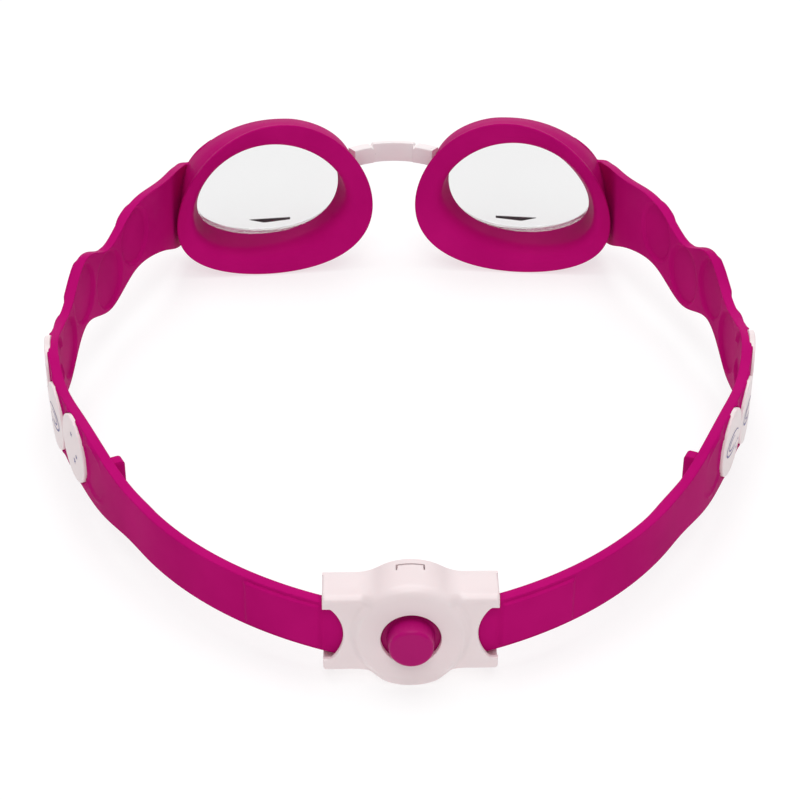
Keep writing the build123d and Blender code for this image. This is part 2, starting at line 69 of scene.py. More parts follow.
# ------------------------------------------------------------------ sizes shared with the CAD
STRAP_THICKNESS = 1.95
STRAP_MIDDLE = 5.0
REAR_RADIUS = 70.0
REAR_CENTRE = (-12.4, 67.4)
ARC_END = -32.0
ARM_PATH = [
    (54.0, 41.6), (61.3, 57.0), (66.6, 71.0), (69.0, 84.0), (68.4, 98.0), (65.2, 114.0),
    (61.4, 126.0), (56.8, 138.7), (53.4, 150.0), (50.325, 165.5),
]
UPPER_EDGE = [
    (33.0, 10.0), (44.5, 11.9), (56.0, 12.2), (69.0, 11.4), (81.0, 12.8), (91.5, 11.2), (99.0, 11.2),
    (104.5, 13.7), (110.5, 16.1), (116.0, 14.8), (121.5, 12.5), (126.0, 13.0), (131.5, 15.1),
    (138.0, 16.0), (146.0, 14.8), (154.8, 13.0), (162.0, 11.6), (170.0, 10.0),
]
LOWER_EDGE = [
    (33.0, 0.0), (44.5, -1.6), (56.0, -2.5), (69.0, -2.6), (81.0, -1.6), (94.5, -3.0),
    (108.0, 2.1), (121.0, -1.5), (133.0, 1.3), (142.0, 0.2), (150.0, -2.8), (157.5, -6.2), (170.0, -8.5),
]
DIMPLES = [(134.0, 9.4), (121.0, 5.8), (107.5, 9.7), (94.5, 4.4)]
DISCS = [(82.5, 6.6), (69.0, 4.4), (56.3, 5.4)]
FADED_SPOT = (47.2, 6.1)         # a rim without a disc, that fades out towards the clip
FADED_RADIUS = 5.5
SPOT_RADIUS = 6.3
DIMPLE_DEPTH = 0.6
DISC_RADIUS = 6.65
DISC_STANDS = 0.85               # how far a disc's middle stands out from the strap

LIP_Y = 156.0                   # the eyecup runs forwards from the seal's lip to the frame's front
FRONT_Y = 169.5
JOINT_Y = 161.0
LENS_SEAT_Y = 166.9
LENS_CENTRE = (29.6, 4.6)
LENS_TILT = -20.0
LENS_EGG = -0.188
LENS_RADIUS = 58.0
LENS_TOP_Y = 171.5

CLIP_WIDTH = 29.0
CLIP_HALF_HEIGHT = 7.5
CLIP_FRONT_Y = 0.5
CLIP_BACK_Y = 7.0
DOME_RADIUS = 10.1


def worn_to_frame():
    """The matrix from millimetres as worn to the frame's metres, from the nose hinge."""
    flex = next(j for j in frame["joints"] if j["name"] == "bridge_flex_left")
    tip = math.atan2(-flex["axis"][1], flex["axis"][2])
    turn = Matrix.Rotation(tip, 4, "X") @ Matrix.Scale(0.001, 4)
    shift = Vector(flex["pos_m"]) - turn @ Vector(HINGE_AS_WORN)
    return Matrix.Translation(shift) @ turn


WORN = worn_to_frame()


def at(x, y, z):
    """A point given as worn, in the frame."""
    return WORN @ Vector((x, y, z))


# ------------------------------------------------------------------ mesh helpers
def smooth_step(value):
    """0 below 0, 1 above 1 and a soft curve between."""
    value = np.clip(value, 0.0, 1.0)
    return value * value * (3 - 2 * value)


def spline(knots, start, finish, share):
    """Points at these shares of the smooth curve through the knots, with the given end headings."""
    knots = np.array(knots, float)
    reach = np.concatenate([[0], np.cumsum(np.linalg.norm(np.diff(knots, axis=0), axis=1))])
    gap = np.diff(reach)
    count = len(knots)
    matrix = np.eye(count)
    sides = np.zeros_like(knots)
    sides[0], sides[-1] = start, finish
    for i in range(1, count - 1):
        matrix[i, i - 1 : i + 2] = gap[i], 2 * (gap[i - 1] + gap[i]), gap[i - 1]
        before = (knots[i] - knots[i - 1]) / gap[i - 1]
        after = (knots[i + 1] - knots[i]) / gap[i]
        sides[i] = 3 * (gap[i] * before + gap[i - 1] * after)
    heading = np.linalg.solve(matrix, sides)
    place = np.asarray(share) * reach[-1]
    i = np.clip(np.searchsorted(reach, place) - 1, 0, count - 2)
    t = ((place - reach[i]) / gap[i])[:, None]
    span = gap[i][:, None]
    return (
        (1 + 2 * t) * (1 - t) ** 2 * knots[i]
        + t * (1 - t) ** 2 * span * heading[i]
        + t * t * (3 - 2 * t) * knots[i + 1]
        + t * t * (t - 1) * span * heading[i + 1]
    )


def distances(points):
    """Distance along a line of points, from its first."""
    return np.concatenate([[0], np.cumsum(np.linalg.norm(np.diff(points, axis=0), axis=1))])


def grid_faces(rows, columns, close_rows=False):
    """Quads between neighbouring rows of points; each row is a closed ring."""
    faces = []
    for r in range(rows if close_rows else rows - 1):
        near = r * columns
        far = (r + 1) % rows * columns
        for c in range(columns):
            d = (c + 1) % columns
            faces.append((near + c, near + d, far + d, far + c))
    return faces


def capped_faces(rows, columns):
    """As grid_faces, with the first and last ring filled."""
    last = (rows - 1) * columns
    caps = [tuple(range(columns))[::-1], tuple(range(last, last + columns))]
    return grid_faces(rows, columns) + caps


def make_piece(name, rings, faces, material, left=False, sharp=40):
    """A mesh object from points as worn; a left piece is the mirror image."""
    points = np.concatenate([np.reshape(ring, (-1, 3)) for ring in rings])
    if left:
        points = points * (-1, 1, 1)
    mesh = bpy.data.meshes.new(name)
    mesh.from_pydata(points.tolist(), [], faces)
    mesh.transform(WORN)
    work = bmesh.new()
    work.from_mesh(mesh)
    bmesh.ops.recalc_face_normals(work, faces=work.faces)
    work.to_mesh(mesh)
    work.free()
    mesh.polygons.foreach_set("use_smooth", np.ones(len(mesh.polygons), bool))
    mesh.set_sharp_from_angle(angle=math.radians(sharp))
    mesh.materials.append(material)
    obj = bpy.data.objects.new(name, mesh)
    bpy.context.scene.collection.objects.link(obj)
    return obj


# ------------------------------------------------------------------ egg-shaped rings
AROUND = 192                    # points around each ring
SEAL_LIP = dict(
    centre=(27.65, 3.95), half=(22.8, 18.5), tilt=-14.9, slimming=-0.167, droop=-1.48, turn=6.0
)
LIP_OPENING = dict(
    centre=(28.4, 5.4), half=(17.8, 13.0), tilt=-10.8, slimming=0.005, droop=-1.45, turn=6.0
)
WALL_FRONT = dict(
    centre=(29.6, 3.85), half=(17.2, 11.7), tilt=-23.0, slimming=LENS_EGG, droop=0.0, turn=0.0
)
FRAME_FRONT = dict(
    centre=(29.8, 4.5), half=(20.9, 15.3), tilt=-20.0, slimming=0.02, droop=0.0, turn=0.0
)


def egg_ring(y, centre, half, tilt, slimming, droop, turn):
    """An egg-shaped ring across the eyecup, half = (half length, half height)."""
    t = np.linspace(0, 2 * math.pi, AROUND, endpoint=False)
    along = half[0] * np.cos(t)
    up = half[1] * (1 + slimming * np.cos(t)) * np.sin(t) + droop * np.cos(2 * t)
    ct, st = math.cos(math.radians(turn)), math.sin(math.radians(turn))
    c, s = math.cos(math.radians(tilt)), math.sin(math.radians(tilt))
    along_way = np.array((ct * c, -st * c, s))
    up_way = np.array((-ct * s, st * s, c))
    return np.array((centre[0], y, centre[1])) + np.outer(along, along_way) + np.outer(up, up_way)


def lens_ring(y, half_length, half_height):
    """A ring of the lens's own outline."""
    return egg_ring(y, LENS_CENTRE, (half_length, half_height), LENS_TILT, LENS_EGG, 0.0, 0.0)


def side_ring(y, inset=0.0):
    """A ring on the eyecup's side: the lip's outline turns into the frame's towards the front."""
    share = (y - LIP_Y) / (FRONT_Y - LIP_Y)
    mixed = {key: (1 - share) * np.array(SEAL_LIP[key]) + share * np.array(FRAME_FRONT[key])
             for key in SEAL_LIP}
    mixed["half"] = mixed["half"] - inset
    return egg_ring(y, **mixed)


def wall_ring(y):
    """A ring on the eyecup's inner wall, from the lens's seat back to the lip's opening."""
    share = (y - LIP_Y) / (LENS_SEAT_Y - LIP_Y)
    opening = egg_ring(LIP_Y, **LIP_OPENING)
    seat = egg_ring(LENS_SEAT_Y, **WALL_FRONT)
    return opening + (seat - opening) * share


def between(first, last, shares):
    """Rings between two rings."""
    return [first + (last - first) * share for share in shares]


def rounded_corner(before, corner, after, radius, steps=9):
    """Rings that round a corner; radius may differ around the ring."""
    radius = np.broadcast_to(np.asarray(radius, float), (AROUND,))[:, None]
    back = before - corner
    back = back / np.linalg.norm(back, axis=1)[:, None]
    on = after - corner
    on = on / np.linalg.norm(on, axis=1)[:, None]
    return [corner + radius * ((1 - t) ** 2 * back + t * t * on) for t in np.linspace(0, 1, steps)]


# ------------------------------------------------------------------ materials
def new_material(name, colour, roughness):
    """A principled material; returns it, its nodes, its links and its shader."""
    material = bpy.data.materials.new(name)
    material.use_nodes = True
    nodes = material.node_tree.nodes
    shader = nodes["Principled BSDF"]
    shader.inputs["Base Color"].default_value = (*colour, 1)
    shader.inputs["Roughness"].default_value = roughness
    return material, nodes, material.node_tree.links, shader


def noise(nodes, links, scale, detail=3.0, stretch=(1, 1, 1)):
    """Noise in the object's own space, in features of about 1/scale metres."""
    coordinates = nodes.new("ShaderNodeTexCoord")
    mapping = nodes.new("ShaderNodeMapping")
    mapping.inputs["Scale"].default_value = stretch
    texture = nodes.new("ShaderNodeTexNoise")
    texture.inputs["Scale"].default_value = scale
    texture.inputs["Detail"].default_value = detail
    links.new(coordinates.outputs["Object"], mapping.inputs["Vector"])
    links.new(mapping.outputs["Vector"], texture.inputs["Vector"])
    return texture.outputs["Fac"]


def vary_colour(nodes, links, shader, source, dark, light):
    """The base colour drifts between two near shades."""
    ramp = nodes.new("ShaderNodeValToRGB")
    ramp.color_ramp.elements[0].position = 0.3
    ramp.color_ramp.elements[0].color = (*dark, 1)
    ramp.color_ramp.elements[1].position = 0.7
    ramp.color_ramp.elements[1].color = (*light, 1)
    links.new(source, ramp.inputs["Fac"])
    links.new(ramp.outputs["Color"], shader.inputs["Base Color"])


def vary_roughness(nodes, links, shader, source, low, high):
    """The roughness drifts between two values."""
    span = nodes.new("ShaderNodeMapRange")
    span.inputs["To Min"].default_value = low
    span.inputs["To Max"].default_value = high
    links.new(source, span.inputs["Value"])
    links.new(span.outputs["Result"], shader.inputs["Roughness"])


def fine_bump(nodes, links, shader, source, strength, depth):
    """A shallow relief, depth in metres."""
    bump = nodes.new("ShaderNodeBump")
    bump.inputs["Strength"].default_value = strength
    bump.inputs["Distance"].default_value = depth
    links.new(source, bump.inputs["Height"])
    links.new(bump.outputs["Normal"], shader.inputs["Normal"])


def moulded(name, dark, light, low, high, grain, bump, depth):
    """Moulded rubber or plastic: cloudy colour, uneven gloss and a fine grain."""
    material, nodes, links, shader = new_material(name, light, high)
    vary_colour(nodes, links, shader, noise(nodes, links, 70), dark, light)
    vary_roughness(nodes, links, shader, noise(nodes, links, 400), low, high)
    fine_bump(nodes, links, shader, noise(nodes, links, grain, 4.0), bump, depth)
    return material, shader


def elastomer():
    """Matt magenta rubber."""
    material, shader = moulded(
        "magenta_elastomer", (0.45, 0.003, 0.145), (0.51, 0.005, 0.168), 0.38, 0.46, 3500, 0.25, 2e-5
    )
    shader.inputs["Specular IOR Level"].default_value = 0.006
    return material


def button_plastic():
    """The push button's plastic, a little glossier than the straps."""
    material, shader = moulded(
        "magenta_plastic", (0.41, 0.003, 0.14), (0.46, 0.004, 0.16), 0.30, 0.36, 5000, 0.15, 1.5e-5
    )
    shader.inputs["Specular IOR Level"].default_value = 0.1
    return material


def pink_plastic():
    """Very pale pink plastic of the clip and the discs."""
    material, shader = moulded(
        "pale_pink_plastic", (0.86, 0.73, 0.74), (0.90, 0.775, 0.785), 0.30, 0.38, 4500, 0.12, 1.5e-5
    )
    shader.inputs["Subsurface Weight"].default_value = 0.06
    shader.inputs["Subsurface Radius"].default_value = (1.0, 0.6, 0.6)
    shader.inputs["Subsurface Scale"].default_value = 0.0012
    return material


def bridge_plastic():
    """The nose bridge's softer, slightly see-through pale pink."""
    material, shader = moulded(
        "bridge_plastic", (0.94, 0.86, 0.865), (0.97, 0.90, 0.905), 0.25, 0.33, 3000, 0.1, 1.5e-5
    )
    shader.inputs["Transmission Weight"].default_value = 0.05
    shader.inputs["Subsurface Weight"].default_value = 0.1
    shader.inputs["Subsurface Radius"].default_value = (1.0, 0.7, 0.7)
    shader.inputs["Subsurface Scale"].default_value = 0.0015
    return material


def clear_plastic():
    """Clear polycarbonate of the lenses."""
    material, nodes, links, shader = new_material("clear_polycarbonate", (0.6, 0.605, 0.605), 0.03)
    vary_colour(nodes, links, shader, noise(nodes, links, 60), (0.59, 0.595, 0.595), (0.61, 0.615, 0.615))
    vary_roughness(nodes, links, shader, noise(nodes, links, 300), 0.015, 0.04)
    shader.inputs["Transmission Weight"].default_value = 1.0
    shader.inputs["IOR"].default_value = 1.45
    shader.inputs["Alpha"].default_value = 0.35
    return material


def dark_wedge_grey():
    """The dark smoky grey of the thin wedge at the bottom of each lens."""
    material, _ = moulded(
        "lens_dark_wedge_grey", (0.045, 0.05, 0.05), (0.10, 0.105, 0.105), 0.25, 0.4, 4000, 0.1, 1e-5
    )
    return material


def print_ink():
    """Violet-blue printing ink, slightly patchy."""
    material, _ = moulded(
        "violet_ink", (0.085, 0.07, 0.26), (0.14, 0.12, 0.36), 0.4, 0.55, 6000, 0.2, 1e-5
    )
    return material


def carrier_plastic():
    """Plain plastic of the lock carrier inside the clip."""
    material, _ = moulded(
        "carrier_acetal", (0.60, 0.46, 0.48), (0.66, 0.52, 0.54), 0.35, 0.45, 3500, 0.2, 2e-5
    )
    return material


def spring_wire():
    """Drawn stainless wire."""
    material, nodes, links, shader = new_material("spring_wire", (0.58, 0.58, 0.6), 0.3)
    shader.inputs["Metallic"].default_value = 1.0
    vary_colour(nodes, links, shader, noise(nodes, links, 900), (0.5, 0.5, 0.52), (0.62, 0.62, 0.64))
    vary_roughness(nodes, links, shader, noise(nodes, links, 5000, 2.0, (1, 0.1, 1)), 0.2, 0.4)
    return material


def glowing_floor():
    """White paper sweep with the faintest tooth, that also glows: painted light that lightens the shadows
    on it.
    """
    material, nodes, links, shader = new_material("glowing_white_floor", (0.35, 0.35, 0.35), 0.9)
    vary_colour(nodes, links, shader, noise(nodes, links, 15), (0.345, 0.345, 0.345), (0.355, 0.355, 0.355))
    # Painted light: the floor glows on its own, which lightens the shadows cast on it and lights the
    # goggles from below.
    shader.inputs["Emission Color"].default_value = (1, 1, 1, 1)
    shader.inputs["Emission Strength"].default_value = 0.68
    fine_bump(nodes, links, shader, noise(nodes, links, 1500), 0.05, 2e-5)
    shader.inputs["Specular IOR Level"].default_value = 0.1
    return material


# ------------------------------------------------------------------ strap
STATION = 0.4                   # spacing of the strap's cross-sections
EDGE_RADIUS = 0.22
WRAP_PATH = [(49.75, 167.7), (48.3, 169.2), (45.6, 169.7), (42.0, 169.3)]
U_TURN_X = 8.4
U_TURN_RADIUS = 2.325
PINCHED = 1.3
RETURN_THICKNESS = 1.0
STRAP_FRONT_Y = 1.5


def rear_point(radius, angle):
    """A point on a circle about the centre of the rear strap."""
    angle = np.radians(angle)
    return np.stack([REAR_CENTRE[0] + radius * np.cos(angle), REAR_CENTRE[1] + radius * np.sin(angle)], -1)


def rear_angle(radius, x):
    """The angle at which that circle passes x, on its rear side."""
    return -math.degrees(math.acos((x - REAR_CENTRE[0]) / radius))


U_TURN_POINTS = 25


def strap_line():
    """The strap's outer face seen from above: out of the clip, round the rear, along the arm."""
    turn = np.radians(np.linspace(90, 270, U_TURN_POINTS))
    middle = STRAP_FRONT_Y + U_TURN_RADIUS
    u_turn = np.stack([U_TURN_X + U_TURN_RADIUS * np.cos(turn), middle + U_TURN_RADIUS * np.sin(turn)], -1)
    leg_end = np.array([[10.2, STRAP_FRONT_Y + 2 * U_TURN_RADIUS]])
    first = rear_angle(REAR_RADIUS, 13.0)
    meet = rear_point(REAR_RADIUS, first)
    heading = (-math.sin(math.radians(first)), math.cos(math.radians(first)))
    bend = spline([(9.8, STRAP_FRONT_Y), meet], (1, 0), heading, np.linspace(0, 1, 12)[:-1])
    rear = rear_point(REAR_RADIUS, np.linspace(first, ARC_END, 120))
    leave = (-math.sin(math.radians(ARC_END)), math.cos(math.radians(ARC_END)))
    arm = spline([rear[-1]] + ARM_PATH + WRAP_PATH, leave, (-1, 0), np.linspace(0, 1, 500))[1:]
    return np.concatenate([leg_end, u_turn, bend, rear, arm])


class Arm:
    """The strap's outer face: positions by distance along it and height."""

    def __init__(self):
        line = strap_line()
        reach = distances(line)
        self.along = np.linspace(0, reach[-1], int(reach[-1] / STATION))
        self.place = np.stack([np.interp(self.along, reach, line[:, k]) for k in (0, 1)], -1)
        heading = np.gradient(self.place, axis=0)
        heading /= np.linalg.norm(heading, axis=1)[:, None]
        self.inward = np.stack([-heading[:, 1], heading[:, 0]], -1)
        self.start = self.along[np.argmax(self.place[:, 1] > 33.0)]

    def find(self, y):
        """Distance along the arm at which it passes y."""
        on_arm = (self.along > self.start) & (np.gradient(self.place[:, 1]) > 0)
        return float(np.interp(y, self.place[on_arm, 1], self.along[on_arm]))

    def point(self, along, z, outward=0.0):
        """The point at this distance and height, moved out from the face."""
        x, y = (np.interp(along, self.along, self.place[:, k]) for k in (0, 1))
        inward_x, inward_y = (np.interp(along, self.along, self.inward[:, k]) for k in (0, 1))
        return np.stack([x - inward_x * outward, y - inward_y * outward, z], -1)


ARM = Arm()


def edge_height(edge, finish, y):
    """Height of the arm's upper or lower edge at y."""
    line = spline(edge, (1, 0), finish, np.linspace(0, 1, 400))
    return np.interp(y, line[:, 0], line[:, 1])


def ring_top(ring, x):
    """Height of a ring's upper side at x."""
    upper = ring[ring[:, 2] > ring[np.argmax(ring[:, 0]), 2]]
    upper = upper[np.argsort(upper[:, 0])]
    return np.interp(x, upper[:, 0], upper[:, 2])


WING_CLEARS = (19.1, 13.8)      # outline round the lens that the wrapped end stays outside
WING_TOP = 9.6


def arm_heights():
    """Lower and upper edge at every station; the wrapped end narrows into a wing over the lens."""
    y = np.where(ARM.along > ARM.start - 5, ARM.place[:, 1], 0)
    low = edge_height(LOWER_EDGE, (1, -0.15), y) - 0.1
    high = edge_height(UPPER_EDGE, (1, 0.05), y)
    x = ARM.place[:, 0]
    on_front = ARM.along > ARM.find(166.5)
    rise = smooth_step((49.9 - x) / 2.3) * on_front
    mouth = ring_top(lens_ring(FRONT_Y, *WING_CLEARS), np.minimum(x, 47.5))
    frame_top = ring_top(side_ring(FRONT_Y), np.minimum(x, 49.0))
    low = low + 4.0 * smooth_step((ARM.along - ARM.find(162.5)) / 6.0)
    low = low + (mouth + 0.2 - low) * rise
    high = high + (np.maximum(frame_top + 0.1, WING_TOP) - high) * rise
    return low, np.maximum(high, low + 0.8)


def arm_thickness():
    """Thickness at every station: thin inside the clip, thinner again inside the frame."""
    in_clip = distances(strap_line()[: U_TURN_POINTS + 1])[-1]
    thick = RETURN_THICKNESS + (PINCHED - RETURN_THICKNESS) * smooth_step(ARM.along / in_clip)
    thick += (STRAP_THICKNESS - PINCHED) * smooth_step((ARM.along - in_clip - 1.4) / 3.6)
    return thick - 0.7 * smooth_step((ARM.along - ARM.find(166.0)) / 5.0)


def round_spot(along, z, centre, radius, soft):
    """1 inside a round spot, 0 outside, with a soft edge."""
    across = np.hypot(along - ARM.find(centre[0]), z - centre[1])
    return smooth_step((radius - across) / soft + 0.5)


def face_relief(along, z):
    """How far the outer face stands out, and how deep the inner face's dimples are."""
    out = np.zeros_like(z)
    deep = np.zeros_like(z)
    for spot in DIMPLES:
        out = np.maximum(out, 0.4 * round_spot(along, z, spot, SPOT_RADIUS + 0.2, 0.9))
        deep = np.maximum(deep, DIMPLE_DEPTH * round_spot(along, z, spot, SPOT_RADIUS, 0.6))
    for spot in DISCS:
        out = np.maximum(out, 0.25 * round_spot(along, z, spot, DISC_RADIUS + 0.9, 0.6))
        deep = np.maximum(deep, DIMPLE_DEPTH * round_spot(along, z, spot, SPOT_RADIUS, 0.6))
    ring = np.hypot(along - ARM.find(FADED_SPOT[0]), z - FADED_SPOT[1]) - FADED_RADIUS
    faded = 0.35 * np.exp(-((ring / 0.55) ** 2)) * smooth_step((along - ARM.find(42.5)) / 4.0)
    out = np.maximum(out, faded)
    for spot in DISCS:
        pocket = 0.75 * round_spot(along, z, spot, DISC_RADIUS + 0.05, 0.3)
        out = out - pocket
    return out, deep


def pad_relief(x, z):
    """The raised pad beside the clip."""
    side = smooth_step((x - 14.7) / 0.5) * smooth_step((27.7 - x) / 0.5)
    return 0.55 * side * smooth_step((z - 0.6) / 0.4) * smooth_step((9.4 - z) / 0.4)


def strap_rings(rows=48):
    """Cross-sections of the strap: rounded at its corners, with dimples, spots and pad."""
    low, high = arm_heights()
    thick = arm_thickness()
    arc = np.linspace(0, math.pi / 2, 5)[1:-1]
    up = np.linspace(0, 1, rows)
    rings = []
    for i, along in enumerate(ARM.along):
        r = EDGE_RADIUS
        bottom, top = low[i] + r, high[i] - r
        z_face = bottom + (top - bottom) * up
        out, deep = face_relief(np.full(rows, along), z_face)
        out = out + pad_relief(ARM.place[i, 0], z_face) * (along < ARM.start)
        step = thick[i] - 2 * r
        depth = np.concatenate([
            -out, r * (1 - np.cos(arc)), [r, r + step / 2, r + step],
            thick[i] - r + r * np.sin(arc), (thick[i] - deep)[::-1],
            thick[i] - r * (1 - np.cos(arc)), [r + step, r + step / 2, r], r - r * np.sin(arc),
        ])
        z = np.concatenate([
            z_face, top + r * np.sin(arc), [high[i]] * 3, top + r * np.cos(arc), z_face[::-1],
            bottom - r * np.sin(arc), [low[i]] * 3, bottom - r * np.cos(arc),
        ])
        xy = ARM.place[i] + np.outer(depth, ARM.inward[i])
        rings.append(np.column_stack([xy, z]))
    return rings


def make_strap(side, material):
    """One strap from its turn round the lock bar to the eyecup's front, blended at the eyecup."""
    rings = strap_rings()
    faces = capped_faces(len(rings), len(rings[0]))
    strap = make_piece(f"strap_{side}_moulded", rings, faces, material, side == "left", 50)
    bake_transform(strap)
    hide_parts(f"strap_{side}")


# ------------------------------------------------------------------ strap tail
TAIL_OUTER = REAR_RADIUS - STRAP_THICKNESS - 0.3
NUB_LENGTH = 3.0


def make_tail(side, material):
    """The strap's free end behind it, thickened into a nub that is pulled to tighten it."""
    first = rear_angle(TAIL_OUTER, 11.3)
    rear = rear_point(TAIL_OUTER, np.linspace(first, ARC_END, 80))
    leave = (-math.sin(math.radians(ARC_END)), math.cos(math.radians(ARC_END)))
    knots = [rear[-1], (51.94, 42.56), (53.57, 45.95)]
    line = np.concatenate([rear, spline(knots, leave, (0.43, 0.9), np.linspace(0, 1, 30))[1:]])
    reach = distances(line)
    fine = np.linspace(reach[-1] - NUB_LENGTH - 0.6, reach[-1], 26)
    along = np.concatenate([np.arange(0, fine[0] - 0.4, 0.8), fine])
    place = np.stack([np.interp(along, reach, line[:, k]) for k in (0, 1)], -1)
    heading = np.stack([np.gradient(place[:, k], along) for k in (0, 1)], -1)
    heading /= np.linalg.norm(heading, axis=1)[:, None]
    inward = np.stack([-heading[:, 1], heading[:, 0]], -1)
    nub = smooth_step((along - reach[-1] + NUB_LENGTH) / 0.5)
    rounded = 0.45 * smooth_step((along - reach[-1] + 0.45) / 0.45) ** 2
    thick = 1.0 + 1.1 * nub - rounded
    low, high = 2.0 - 0.4 * nub + rounded, 8.0 + 2.2 * nub - rounded
    arc = np.linspace(0, math.pi / 2, 6)
    rings = []
    for i in range(len(along)):
        r = min(0.3 + 0.35 * nub[i], thick[i] / 2 - 0.05)
        outer = 0.3
        depth = np.concatenate([
            outer * (1 - np.cos(arc)), thick[i] - r + r * np.sin(arc),
            thick[i] - r * (1 - np.cos(arc)), outer - outer * np.sin(arc),
        ])
        z = np.concatenate([
            high[i] - outer + outer * np.sin(arc), high[i] - r + r * np.cos(arc),
            low[i] + r - r * np.sin(arc), low[i] + outer - outer * np.cos(arc),
        ])
        rings.append(np.column_stack([place[i] + np.outer(depth, inward[i]), z]))
    faces = capped_faces(len(rings), len(rings[0]))
    tail = make_piece(f"tail_{side}_moulded", rings, faces, material, side == "left")
    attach(tail, f"tail_{side}")
    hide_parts(f"strap_tail_{side}")


# ------------------------------------------------------------------ eyecup
BEAD_HALF = (19.2, 13.9)        # half length and half height of the bead round the lens
MOUTH_HALF = (18.45, 13.15)
SEAT_HALF = (18.4, 13.1)


def seal_rings():
    """The seal: inner wall, broad flat lip with a soft inner edge, and a groove behind the lip."""
    joint_hole, lip_hole = wall_ring(JOINT_Y), wall_ring(LIP_Y)
    lip_edge, lip_back = side_ring(LIP_Y), side_ring(LIP_Y + 1.5)
    groove, swell, joint = side_ring(158.4, 1.5), side_ring(159.2, 0.75), side_ring(JOINT_Y, 0.5)
    angle = np.linspace(0, 2 * math.pi, AROUND, endpoint=False)
    inner_radius = 2.3 + 1.9 * np.clip(-np.sin(angle), 0, 1)
    rings = between(joint_hole, lip_hole, np.linspace(0, 0.12, 3))
    rings += rounded_corner(joint_hole, lip_hole, lip_edge, inner_radius, 14)
    rings += rounded_corner(lip_hole, lip_edge, lip_back, 0.45, 7)
    rings += rounded_corner(lip_edge, lip_back, groove, 0.35, 5)
    rings += rounded_corner(lip_back, groove, swell, 0.25, 4)
    rings += rounded_corner(groove, swell, joint, 0.5, 6)
    rings += [joint, (joint + joint_hole) / 2]
    return rings


def frame_rings():
    """The outer frame: swollen side, rounded front, a bead round the lens and the lens seat."""
    joint, side, front = side_ring(JOINT_Y, 0.5), side_ring(164.0, 0.1), side_ring(FRONT_Y)
    bead = lens_ring(FRONT_Y + 0.25, *BEAD_HALF)
    mouth = lens_ring(FRONT_Y, *MOUTH_HALF)
    seat = lens_ring(LENS_SEAT_Y, *SEAT_HALF)
    rim, joint_hole = wall_ring(LENS_SEAT_Y), wall_ring(JOINT_Y)
    rings = [joint]
    rings += rounded_corner(joint, side, front, 1.8, 8)
    rings += between(side, front, (0.5, 0.7))
    rings += rounded_corner(side, front, bead, 0.8, 8)
    rings += rounded_corner(front, bead, mouth, 0.2, 5)
    rings += rounded_corner(bead, mouth, seat, 0.2, 5)
    rings += [seat, rim]
    rings += between(rim, joint_hole, (0.08, 0.3, 0.6, 1))
    return rings


def make_cup(side, material):
    """The face seal and the frame round the lens."""
    for name, rings in (("seal", seal_rings()), ("frame", frame_rings())):
        faces = grid_faces(len(rings), AROUND, close_rows=True)
        piece = make_piece(f"{name}_{side}_moulded", rings, faces, material, side == "left", 50)
        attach(piece, f"eyecup_{side}")
        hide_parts(f"{name}_{side}")


# ------------------------------------------------------------------ lens
LENS_HALF = (18.25, 12.95)      # half length and half height
LENS_INSIDE = (17.45, 12.25)    # the same inside its rim


def dome_ring(share, radius):
    """A ring on the lens's dome; share is its size against the lens."""
    ring = lens_ring(0, LENS_HALF[0] * share, LENS_HALF[1] * share)
    across = (ring[:, 0] - LENS_CENTRE[0]) ** 2 + (ring[:, 2] - LENS_CENTRE[1]) ** 2
    ring[:, 1] = LENS_TOP_Y - LENS_RADIUS + np.sqrt(radius**2 - across)
    return ring


def make_lens(side, material):
    """A domed lens with a stepped rim that sits in the frame."""
    inner, outer = LENS_RADIUS - 1.6, LENS_RADIUS
    edge = dome_ring(1.0, outer)
    rim_back = lens_ring(LENS_SEAT_Y + 0.05, *LENS_HALF)
    rim_inside = lens_ring(LENS_SEAT_Y + 0.05, *LENS_INSIDE)
    step = dome_ring(0.945, inner)
    rings = [dome_ring(share, inner) for share in (0.02, 0.15, 0.3, 0.45, 0.6, 0.7, 0.8, 0.86, 0.9)]
    rings += rounded_corner(rings[-1], step, rim_inside, 0.25, 5)
    rings += rounded_corner(step, rim_inside, rim_back, 0.15, 4)
    rings += rounded_corner(rim_inside, rim_back, edge, 0.15, 4)
    rings += rounded_corner(rim_back, edge, dome_ring(0.9, outer), 0.3, 5)
    rings += [dome_ring(share, outer) for share in (0.93, 0.85, 0.75, 0.6, 0.45, 0.3, 0.15, 0.02)]
    faces = capped_faces(len(rings), AROUND)
    lens = make_piece(f"lens_{side}_domed", rings, faces, material, side == "left", 50)
    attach(lens, f"eyecup_{side}")
    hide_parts(f"lens_{side}")


def make_dark_wedge(side, material):
    """A thin dark wedge in the lower part of the lens, deepest past its middle."""
    share = np.linspace(0, 1, 24)
    x = 24.3 + 9.6 * share
    top = -4.95 - 0.6 * share
    lowest = np.interp(share, (0, 0.64, 1), (-5.45, -6.3, -5.6))
    front, back = 169.35, 169.6
    rings = []
    for k in range(len(share)):
        corners = ((front, top[k]), (back, top[k]), (back, lowest[k]), (front, lowest[k]))
        rings.append(np.array([(x[k], y, z) for y, z in corners]))
    mark = make_piece(
        f"lens_dark_wedge_{side}", rings, capped_faces(len(rings), 4), material, side == "left"
    )
    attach(mark, f"eyecup_{side}")


# ------------------------------------------------------------------ nose bridge
BRIDGE_HALF = 10.3
BRIDGE_BOW = 3.0
BRIDGE_LOW = 10.2
BRIDGE_TOP = 14.9


